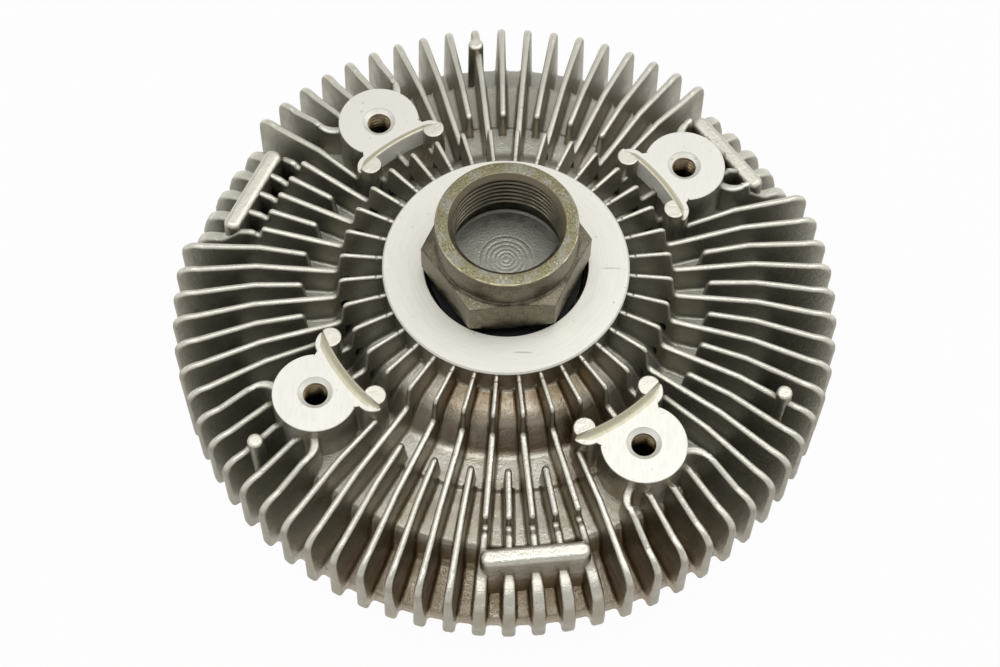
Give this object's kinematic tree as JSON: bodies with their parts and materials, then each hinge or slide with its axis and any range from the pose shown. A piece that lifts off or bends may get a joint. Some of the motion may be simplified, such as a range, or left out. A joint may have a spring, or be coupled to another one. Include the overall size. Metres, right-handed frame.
{
  "type": "viscous fan clutch",
  "caption": "Finned viscous fan clutch with a threaded hexagon hub, fan mounting pads round a pilot and a bimetal coil valve on its front cover.",
  "frame": {"origin": "centre of the plane on which the front cover's fins stand, on the shaft axis", "axes": "+Z along the shaft axis towards the mouth of the hub's threaded cup"},
  "size_m": [0.178, 0.178, 0.0704],
  "materials": {
    "cast_aluminium": "die cast, machined on the ring and pads",
    "hub_steel": "turned, darkened",
    "bearing_steel": "ground",
    "cage_steel": "pressed",
    "black_rubber": "matt",
    "sheet_steel": "pressed",
    "zinc_plated": "zinc plated",
    "bimetal": "rolled strip"
  },
  "bodies": {
    "housing": {"rear_housing": "cast_aluminium", "front_cover": "cast_aluminium", "bearing_outer_race": "bearing_steel", "bearing_seal_rear": "black_rubber", "bearing_seal_front": "black_rubber", "bearing_circlip": "sheet_steel", "pump_plate": "sheet_steel", "plate_rivet_1": "zinc_plated", "plate_rivet_2": "zinc_plated", "plate_rivet_3": "zinc_plated", "plate_rivet_4": "zinc_plated", "cover_o_ring": "black_rubber", "cover_screw_1": "zinc_plated", "cover_screw_2": "zinc_plated", "cover_screw_3": "zinc_plated", "cover_screw_4": "zinc_plated", "cover_screw_5": "zinc_plated", "cover_screw_6": "zinc_plated", "bimetal_coil": "bimetal", "coil_bracket": "zinc_plated", "bracket_screw": "zinc_plated"},
    "hub": {"hub_shaft": "hub_steel", "bearing_inner_race": "bearing_steel", "rotor": "cast_aluminium", "rotor_circlip": "sheet_steel"},
    "cage": {"bearing_cage": "cage_steel", "bearing_ball_1": "bearing_steel", "bearing_ball_2": "bearing_steel", "bearing_ball_3": "bearing_steel", "bearing_ball_4": "bearing_steel", "bearing_ball_5": "bearing_steel", "bearing_ball_6": "bearing_steel", "bearing_ball_7": "bearing_steel", "bearing_ball_8": "bearing_steel", "bearing_ball_9": "bearing_steel"},
    "valve": {"valve_spindle": "zinc_plated", "valve_arm": "sheet_steel", "spindle_o_ring": "black_rubber", "spindle_clip": "sheet_steel"}
  },
  "joints": [
    {"name": "hub_spin", "type": "hinge", "parent": "housing", "child": "hub", "pos_m": [0, 0, 0.0407], "axis": [0, 0, 1], "continuous": true},
    {"name": "cage_spin", "type": "hinge", "parent": "housing", "child": "cage", "pos_m": [0, 0, 0.0407], "axis": [0, 0, 1], "continuous": true},
    {"name": "valve_swing", "type": "hinge", "parent": "housing", "child": "valve", "pos_m": [0, 0, 0.0109], "axis": [0, 0, 1], "range_deg": [0, 35], "stiffness_Nm_per_rad": 0.02, "deforming": ["bimetal_coil"]}
  ],
  "couplings": [
    {"joint": "cage_spin", "follows": "hub_spin", "ratio": 0.3944}
  ]
}
